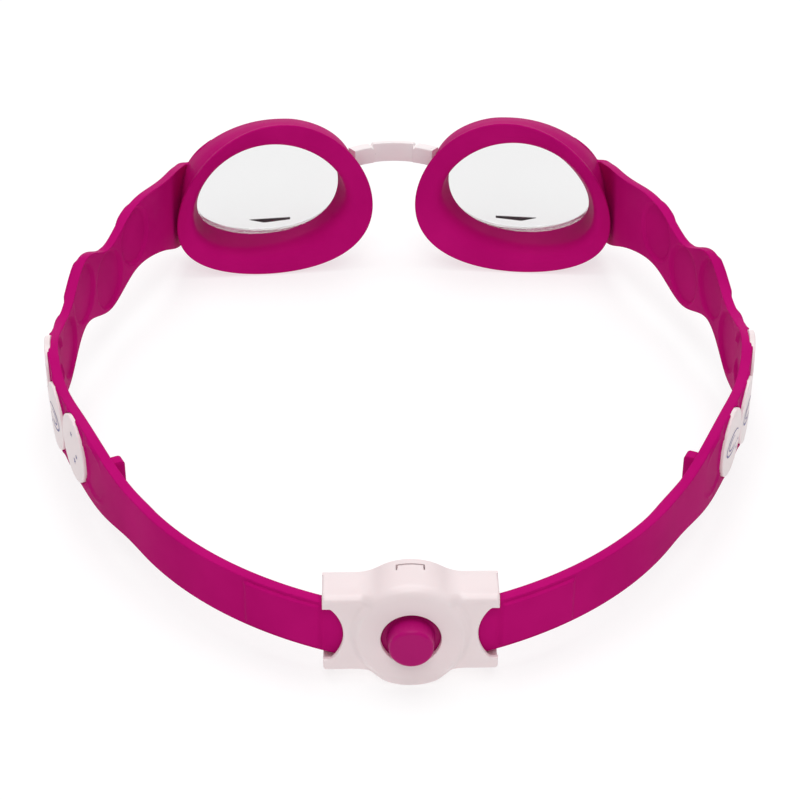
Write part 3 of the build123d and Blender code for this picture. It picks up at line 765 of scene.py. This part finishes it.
def make_bridge(material):
    """A bowed band: thin in the middle, stepped down into thicker ends."""
    x = np.linspace(-BRIDGE_HALF, BRIDGE_HALF, 140)
    away = np.abs(x)
    radius = (9.8**2 + BRIDGE_BOW**2) / (2 * BRIDGE_BOW)
    y = 165.5 + BRIDGE_BOW + 0.6 - radius + np.sqrt(radius**2 - x**2)
    end = smooth_step((away - 4.9) / 0.4)
    notch = 0.55 * np.exp(-(((away - 5.35) / 0.3) ** 2))
    thick = 1.25 + 1.35 * end
    top = BRIDGE_TOP - 0.15 * end - notch
    low = BRIDGE_LOW + 0.55 * end
    heading = np.stack([np.gradient(x), np.gradient(y)], -1)
    heading /= np.linalg.norm(heading, axis=1)[:, None]
    rearward = np.stack([heading[:, 1], -heading[:, 0]], -1)
    arc = np.linspace(0, math.pi / 2, 5)
    rings = []
    for k in range(len(x)):
        r = 0.22
        t = thick[k]
        depth = np.concatenate([
            r * (1 - np.cos(arc)), t - r + r * np.sin(arc), t - r * (1 - np.cos(arc)), r - r * np.sin(arc)
        ])
        z = np.concatenate([
            top[k] - r + r * np.sin(arc), top[k] - r + r * np.cos(arc),
            low[k] + r - r * np.sin(arc), low[k] + r - r * np.cos(arc),
        ])
        rings.append(np.column_stack([(x[k], y[k]) + np.outer(depth, rearward[k]), z]))
    faces = capped_faces(len(rings), len(rings[0]))
    bridge = make_piece("nose_bridge_moulded", rings, faces, material)
    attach(bridge, "bridge")
    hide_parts("nose_bridge")


# ------------------------------------------------------------------ pale discs and their print
def make_disc(side, number, spot, material):
    """A pale disc that follows the arm, softly domed with a rounded rim."""
    centre = ARM.find(spot[0])
    t = np.linspace(0, 2 * math.pi, 96, endpoint=False)
    falls = ((0.02, 0.0), (0.3, 0.01), (0.6, 0.03), (0.85, 0.06))
    profile = [(share, DISC_STANDS - fall) for share, fall in falls]
    profile += [
        (1 - 0.035 * (1 - math.sin(a)), DISC_STANDS - 0.32 + 0.24 * math.cos(a))
        for a in np.linspace(0, math.pi / 2, 7)
    ]
    profile += [(1.0, -0.3), (0.97, -0.42), (0.5, -0.42), (0.02, -0.42)]
    rings = []
    for share, out in profile:
        r = DISC_RADIUS * share
        rings.append(ARM.point(centre + r * np.cos(t), spot[1] + r * np.sin(t), out))
    faces = capped_faces(len(rings), len(t))
    disc = make_piece(f"disc_{side}_{number}", rings, faces, material, side == "left", 50)
    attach(disc, f"strap_{side}")
    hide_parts(f"spot_disc_{side}_{number}")


def stroke(points, width):
    """A pen stroke with tapered ends along points on a disc: outline pairs."""
    points = np.array(points, float)
    heading = np.gradient(points, axis=0)
    heading /= np.linalg.norm(heading, axis=1)[:, None]
    across = np.stack([-heading[:, 1], heading[:, 0]], -1)
    share = np.linspace(0, 1, len(points))
    half = width / 2 * np.sqrt(np.clip(np.sin(math.pi * share), 0.02, 1))
    return points - across * half[:, None], points + across * half[:, None]


def ripple(width, height, first, last):
    """Points of part of an oval, as a ripple on water."""
    t = np.radians(np.linspace(first, last, 40))
    return np.stack([width * np.cos(t), height * np.sin(t)], -1)


def wave(x_from, x_to, z, height, crests):
    """Points of a wave line."""
    x = np.linspace(x_from, x_to, 40)
    return np.stack([x, z + height * np.sin(np.linspace(0, 2 * math.pi * crests, 40))], -1)


def star(x, z, size):
    """Outline of a small five-pointed star."""
    t = np.radians(np.arange(10) * 36 + 90)
    r = np.where(np.arange(10) % 2 == 0, size, size * 0.45)
    return np.stack([x + r * np.cos(t), z + r * np.sin(t)], -1)


INK_LIFT = 0.025


def make_print(side, number, spot, strokes, stars, material):
    """Printed ripples, waves and stars, a hair above a disc."""
    centre = ARM.find(spot[0])
    points, faces = [], []

    def lay(flat):
        """Lays points of the disc's own plane on its domed face."""
        share = np.hypot(flat[:, 0], flat[:, 1]) / DISC_RADIUS
        out = DISC_STANDS + INK_LIFT - 0.06 * share**2
        return ARM.point(centre + flat[:, 0], spot[1] + flat[:, 1], out)

    for line, width in strokes:
        one, other = stroke(line, width)
        base, count = len(points), len(one)
        points.extend(lay(one))
        points.extend(lay(other))
        faces += [
            (base + k, base + k + 1, base + count + k + 1, base + count + k) for k in range(count - 1)
        ]
    for x, z, size in stars:
        outline = star(x, z, size)
        base = len(points)
        points.extend(lay(outline))
        points.extend(lay(np.array([(x, z)])))
        faces += [(base + k, base + (k + 1) % 10, base + 10) for k in range(10)]
    ink = make_piece(f"print_{side}_{number}", [np.array(points)], faces, material, side == "left")
    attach(ink, f"strap_{side}")


def make_prints(side, material):
    """Each disc gets its own little pattern: ripples, waves and stars."""
    ripples = [(ripple(4.3, 2.0, 20, 320), 0.42), (ripple(2.6, 1.1, 60, 300), 0.36)]
    waves = [(wave(-4.2, 4.2, z, 0.55, 2), 0.4) for z in (-2.6, -1.2)]
    far_stars = [(-2.6, 2.6, 0.62), (-0.4, 3.6, 0.5), (1.9, 2.4, 0.66), (0.4, 1.3, 0.4)]
    side_stars = [(3.4, -3.0, 0.45), (4.4, -1.7, 0.4)]
    near_stars = [(-0.2, 3.3, 0.62), (-2.6, -0.4, 0.6), (-1.2, -2.0, 0.75)]
    make_print(side, 1, DISCS[0], waves, far_stars, material)
    make_print(side, 2, DISCS[1], ripples, side_stars, material)
    if side == "right":
        make_print(side, 3, DISCS[2], ripples, side_stars, material)
    else:
        make_print(side, 3, DISCS[2], [], near_stars, material)


# ------------------------------------------------------------------ clip
CLIP_BLEND = 7.0                # radius of the hollow between the clip's wings and its dome
CLIP_WALL = 1.0
DOME_RISE = 1.5
DOME_CROWN = 0.3
DOME_EDGE = 8.6                 # where the dome's face starts to fall towards the wings
LOWER_SHOULDER = 0.6
HOLE_RADIUS = 4.95
CUTOUT_RADIUS = 7.5
CUTOUT_X = 18.6
CUTOUT_HALF_HEIGHT = 5.15
SNAP_SLITS = [(-2.4, 2.4, 6.1, 6.45), (-2.4, -2.1, 5.0, 6.3), (2.1, 2.4, 5.0, 6.3)]


def clip_half_height(x):
    """Half the clip's height: straight wings that swell into a round dome."""
    away = np.abs(x)
    reach = DOME_RADIUS + CLIP_BLEND
    above = CLIP_HALF_HEIGHT + CLIP_BLEND
    blend_x = math.sqrt(reach**2 - above**2)
    touch = blend_x * DOME_RADIUS / reach
    dome = np.sqrt(np.clip(DOME_RADIUS**2 - away**2, 0, None))
    hollow = above - np.sqrt(np.clip(CLIP_BLEND**2 - (away - blend_x) ** 2, 0, None))
    return np.where(away < touch, dome, np.where(away < blend_x, hollow, CLIP_HALF_HEIGHT))


def dome_front(x, z):
    """The Y of the front face: flat wings and a slightly crowned dome that falls towards them."""
    out = np.hypot(x, z - STRAP_MIDDLE)
    crown = DOME_CROWN * np.clip(out / DOME_EDGE, 0, 1) ** 2
    fall = smooth_step((out - DOME_EDGE) / (DOME_RADIUS - DOME_EDGE)) * smooth_step((np.abs(x) - 4.0) / 3.0)
    return CLIP_FRONT_Y - DOME_RISE + crown + (DOME_RISE - DOME_CROWN) * fall


def clip_ring(x):
    """The front cover's section across its height, a U open to the back."""
    half = float(clip_half_height(x))
    slope = float(clip_half_height(x + 0.05) - clip_half_height(x - 0.05)) / 0.1
    upper = 1.4 + 0.6 * math.exp(-((x / 5.5) ** 2))
    turn = np.linspace(0, math.pi / 2, 15)
    lean = math.hypot(1, slope)
    end = max(0.0, 0.45 - (CLIP_WIDTH / 2 - abs(x)))
    trim = 0.45 - math.sqrt(max(0.45**2 - end**2, 0))
    z_top = half - upper * lean * (1 - np.sin(turn))
    z_low = LOWER_SHOULDER * lean * (1 - np.sin(turn)) - half
    y_top = dome_front(x, STRAP_MIDDLE + z_top[0]) + upper * (1 - np.cos(turn))
    y_low = dome_front(x, STRAP_MIDDLE + z_low[0]) + LOWER_SHOULDER * (1 - np.cos(turn))
    flat = np.linspace(z_top[0], z_low[0], 61)[1:-1]
    back = np.array([CLIP_BACK_Y - 2.5, CLIP_BACK_Y - 0.2, CLIP_BACK_Y])
    z_out = np.concatenate([[half] * 3, z_top[::-1], flat, z_low, [-half] * 3])
    y_out = np.concatenate([
        back[::-1], y_top[::-1], dome_front(x, STRAP_MIDDLE + flat), y_low, back,
    ])
    z_out = z_out * (1 - trim / half)
    y_out = np.minimum(y_out + trim, CLIP_BACK_Y)
    inner = half - CLIP_WALL
    z_in = np.concatenate([[-inner] * 3, np.linspace(-inner + 0.3, inner - 0.3, 61), [inner] * 3])
    front_in = np.clip(dome_front(x, STRAP_MIDDLE + z_in) + 0.8, None, CLIP_FRONT_Y + 0.8)
    y_in = np.concatenate([back[::-1], front_in[3:-3], back])
    y_in[2], y_in[-3] = CLIP_FRONT_Y + 1.2, CLIP_FRONT_Y + 1.2
    z = np.concatenate([z_out, z_in]) + STRAP_MIDDLE
    y = np.concatenate([y_out, y_in])
    return np.column_stack([np.full(len(z), x), y, z])


def revolve(profile, centre=(0.0, STRAP_MIDDLE), count=96):
    """Rings about an axis along Y: profile = (radius, y)."""
    t = np.linspace(0, 2 * math.pi, count, endpoint=False)
    return [
        np.column_stack([centre[0] + r * np.cos(t), np.full(count, y), centre[1] + r * np.sin(t)])
        for r, y in profile
    ]


def flared_cutter(radius, face_y, depth, flare, centre=(0.0, STRAP_MIDDLE), half_height=None):
    """A cutter whose mouth flares, so that the cut has a rounded edge; half_height flattens it."""
    mouth = [
        (radius + flare * (1 - math.cos(a)), face_y + flare * (1 - math.sin(a)) - 0.01)
        for a in np.linspace(0, math.pi / 2, 8)
    ]
    profile = [(radius, face_y + depth)] + mouth + [(radius + flare + 0.6, face_y - 2.5)]
    rings = revolve(profile, centre)
    if half_height:
        for ring, (r, _) in zip(rings, profile):
            reach = half_height + r - radius
            ring[:, 2] = np.clip(ring[:, 2], centre[1] - reach, centre[1] + reach)
    return rings, capped_faces(len(rings), len(rings[0]))


def subtract(target, cutters):
    """Cuts the cutters out of the target and removes them."""
    for cutter in cutters:
        cut = target.modifiers.new("cut", "BOOLEAN")
        cut.operation = "DIFFERENCE"
        cut.solver = "EXACT"
        cut.object = cutter
    bpy.context.view_layer.update()
    result = bpy.data.meshes.new_from_object(target.evaluated_get(bpy.context.evaluated_depsgraph_get()))
    target.modifiers.clear()
    target.data = result
    for cutter in cutters:
        bpy.data.objects.remove(cutter)
    result.polygons.foreach_set("use_smooth", np.ones(len(result.polygons), bool))
    result.set_sharp_from_angle(angle=math.radians(38))


def make_clip(material):
    """The front cover: wings, dome, button hole, hollows that bare the straps, snap slits."""
    half = CLIP_WIDTH / 2
    ends = half - 0.45 * (1 - np.sin(np.linspace(0, math.pi / 2, 6)))
    x = np.concatenate([-ends[::-1], np.linspace(-half + 0.6, half - 0.6, 95), ends])
    rings = [clip_ring(float(v)) for v in x]
    cover = make_piece("clip_front_moulded", rings, capped_faces(len(rings), len(rings[0])), material)
    face = CLIP_FRONT_Y - DOME_RISE
    hole = make_piece("cut_hole", *flared_cutter(HOLE_RADIUS, face, 5.0, 0.4), material)
    cutters = [hole]
    for x_cut in (CUTOUT_X, -CUTOUT_X):
        centre = (x_cut, STRAP_MIDDLE)
        tool = flared_cutter(CUTOUT_RADIUS, CLIP_FRONT_Y, 2.2, 0.35, centre, CUTOUT_HALF_HEIGHT)
        cutters.append(make_piece("cut_side", *tool, material))
    for left_x, right_x, front, back in SNAP_SLITS:
        corners = ((left_x, front), (right_x, front), (right_x, back), (left_x, back))
        box = [np.array([(x, y, z) for x, y in corners]) for z in (STRAP_MIDDLE + 7, STRAP_MIDDLE + 12)]
        cutters.append(make_piece("cut_slit", box, capped_faces(2, 4), material))
    subtract(cover, cutters)
    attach(cover, "strap_left")
    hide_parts("clip_front_cover")


BUTTON_RADIUS = 3.7
BUTTON_ROUND = 0.62
BUTTON_END_Y = -3.6


def make_button(material):
    """The push button: flat end, soft rim, tapered side and a flange behind the dome."""
    rim = [
        (BUTTON_RADIUS - BUTTON_ROUND * (1 - math.sin(a)), BUTTON_END_Y + BUTTON_ROUND * (1 - math.cos(a)))
        for a in np.linspace(0, math.pi / 2, 9)
    ]
    profile = [(0.03, -3.56), (1.2, -3.565), (2.4, -3.585)] + rim
    profile += [(3.8, -1.6), (3.88, 0.05), (4.05, 0.2), (5.5, 0.2), (5.6, 0.3), (5.6, 0.9), (5.5, 1.0)]
    profile += [(3.93, 1.0), (3.88, 1.1), (3.88, 3.05), (2.75, 3.05), (2.7, -2.7), (0.03, -2.75)]
    rings = revolve(profile)
    button = make_piece("button_turned", rings, capped_faces(len(rings), len(rings[0])), material)
    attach(button, "button")
    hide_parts("button_cap")


def paint(node, material):
    """Gives a CAD node its material."""
    mesh = frame["nodes"][node].data
    mesh.materials.clear()
    mesh.materials.append(material)


# ------------------------------------------------------------------ studio
CAMERA_AT = (-7.644, -263.235, 217.385)
CAMERA_HEADING = 1.248          # degrees to the right of straight ahead
CAMERA_DROP = 32.31             # degrees below the horizontal
CAMERA_ROLL = 0.18
FOCAL_LENGTH = 92.25


def make_camera():
    """The main view: from behind and above the clip, looking towards the lenses."""
    data = bpy.data.cameras.new("camera")
    data.lens = FOCAL_LENGTH
    data.sensor_width = 36.0
    data.clip_start = 0.01
    camera = bpy.data.objects.new("camera", data)
    bpy.context.scene.collection.objects.link(camera)
    aim = Matrix.Rotation(math.radians(-CAMERA_HEADING), 4, "Z")
    aim = aim @ Matrix.Rotation(math.radians(90 - CAMERA_DROP), 4, "X")
    aim = aim @ Matrix.Rotation(math.radians(CAMERA_ROLL), 4, "Z")
    tipped = WORN.to_3x3().normalized().to_4x4()
    camera.matrix_world = Matrix.Translation(at(*CAMERA_AT)) @ tipped @ aim
    bpy.context.scene.camera = camera


def make_floor(material):
    """A wide pale floor at the height on which the goggles rest."""
    size = 20.0
    mesh = bpy.data.meshes.new("floor")
    corners = [(-size, -size, 0), (size, -size, 0), (size, size, 0), (-size, size, 0)]
    mesh.from_pydata(corners, [], [(0, 1, 2, 3)])
    mesh.materials.append(material)
    floor = bpy.data.objects.new("floor", mesh)
    floor.location.z = cad_box[0][2] - 0.0002
    bpy.context.scene.collection.objects.link(floor)


def make_light(name, place, target, size, power):
    """A square soft box aimed at a point."""
    data = bpy.data.lights.new(name, "AREA")
    data.size = size
    data.energy = power
    light = bpy.data.objects.new(name, data)
    light.location = place
    light.rotation_euler = (Vector(target) - Vector(place)).to_track_quat("-Z", "Y").to_euler()
    bpy.context.scene.collection.objects.link(light)


def make_studio():
    """White surroundings and soft boxes overhead, behind the lenses and above the camera."""
    world = bpy.data.worlds.new("studio")
    world.use_nodes = True
    background = world.node_tree.nodes["Background"]
    background.inputs["Color"].default_value = (1, 1, 1, 1)
    background.inputs["Strength"].default_value = 0.25
    bpy.context.scene.world = world
    middle = (0, 0, 0.01)
    make_light("overhead", (0.0, 0.05, 1.3), middle, 1.2, 12)
    make_light("behind_lenses", (0.0, 1.3, 0.55), middle, 1.2, 4)
    make_light("above_camera", (0.0, -0.85, 1.0), middle, 0.45, 4)
    bpy.context.scene.view_settings.view_transform = "Standard"


# ------------------------------------------------------------------ the whole
def build():
    """Everything, one piece at a time."""
    rubber, pink, clear = elastomer(), pink_plastic(), clear_plastic()
    wedge_material, ink = dark_wedge_grey(), print_ink()
    for side in ("left", "right"):
        make_strap(side, rubber)
        make_tail(side, rubber)
        make_cup(side, rubber)
        make_lens(side, clear)
        make_dark_wedge(side, wedge_material)
        for number, spot in enumerate(DISCS, start=1):
            make_disc(side, number, spot, pink)
        make_prints(side, ink)
    make_bridge(bridge_plastic())
    make_clip(pink)
    make_button(button_plastic())
    paint("clip_back_cover", pink)
    paint("lock_carrier", carrier_plastic())
    paint("button_spring", spring_wire())
    make_floor(glowing_floor())
    make_camera()
    make_studio()


build()
